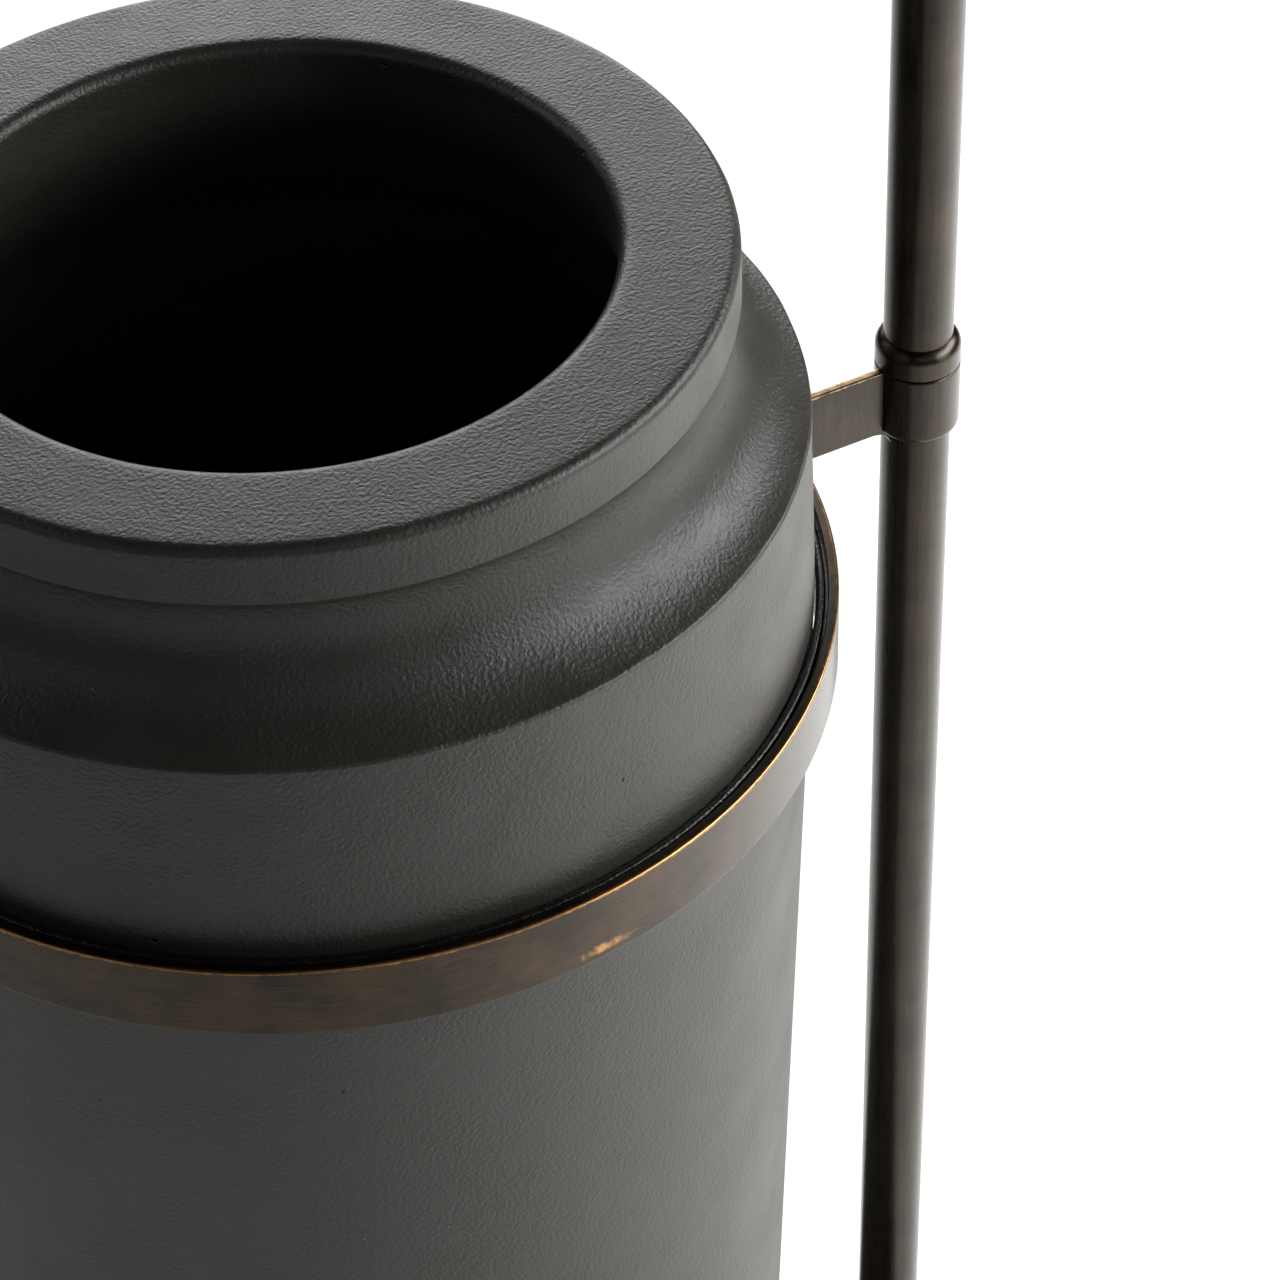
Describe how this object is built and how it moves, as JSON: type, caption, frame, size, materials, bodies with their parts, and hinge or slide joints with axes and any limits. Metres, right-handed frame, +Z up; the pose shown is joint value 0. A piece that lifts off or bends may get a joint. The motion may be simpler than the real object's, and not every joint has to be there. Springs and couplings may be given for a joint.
{
  "type": "ashtray bin",
  "caption": "Free-standing ash and litter bin: a tapered cast vessel with a wide mouth stands on a round base inside a bronze hoop on a slim post, with a lift-out liner.",
  "frame": {"origin": "centre of the vessel's axis on the floor, under the feet", "axes": "+Z up, +X from the vessel's axis towards the post, +Y completes a right-handed frame"},
  "size_m": [0.3999, 0.4, 0.7],
  "materials": {
    "cast_stone": "matte cast stone composite, fine orange peel, scattered pinholes",
    "bronze": "dark bronze patina, brushed along its length, edges rubbed back to gold",
    "post": "dark bronze patina, satin",
    "base": "dark bronze powder coat, satin",
    "gasket": "glossy black bead",
    "rubber": "matte black rubber",
    "inserts": "turned brass",
    "fasteners": "zinc plated",
    "liner": "matte black enamel on sheet steel",
    "wire": "drawn steel wire"
  },
  "bodies": {
    "stand": {"base_plate": "base", "feet": "rubber", "foot_screws": "fasteners", "base_mat": "rubber", "post_flange": "bronze", "post": "post", "foot_insert": "inserts", "post_bolt": "fasteners", "post_washer": "fasteners", "top_insert": "inserts", "finial": "bronze", "stop_collar": "bronze", "collar_screw": "fasteners", "sleeve": "bronze", "sleeve_screw": "fasteners", "arm": "bronze", "hoop": "bronze", "gasket": "gasket"},
    "vessel": {"vessel": "cast_stone", "liner_seat": "rubber"},
    "liner": {"liner": "liner", "liner_ears": "liner", "ear_rivets": "fasteners"},
    "bail": {"bail": "wire"}
  },
  "joints": [
    {"name": "vessel_lift", "type": "slide", "parent": "stand", "child": "vessel", "axis": [0, 0, 1], "range_m": [0, 0.5]},
    {"name": "liner_lift", "type": "slide", "parent": "vessel", "child": "liner", "axis": [0, 0, 1], "range_m": [0, 0.56]},
    {"name": "bail_swing", "type": "hinge", "parent": "liner", "child": "bail", "pos_m": [0, 0, 0.378], "axis": [0, 1, 0], "range_deg": [0, 223]}
  ]
}
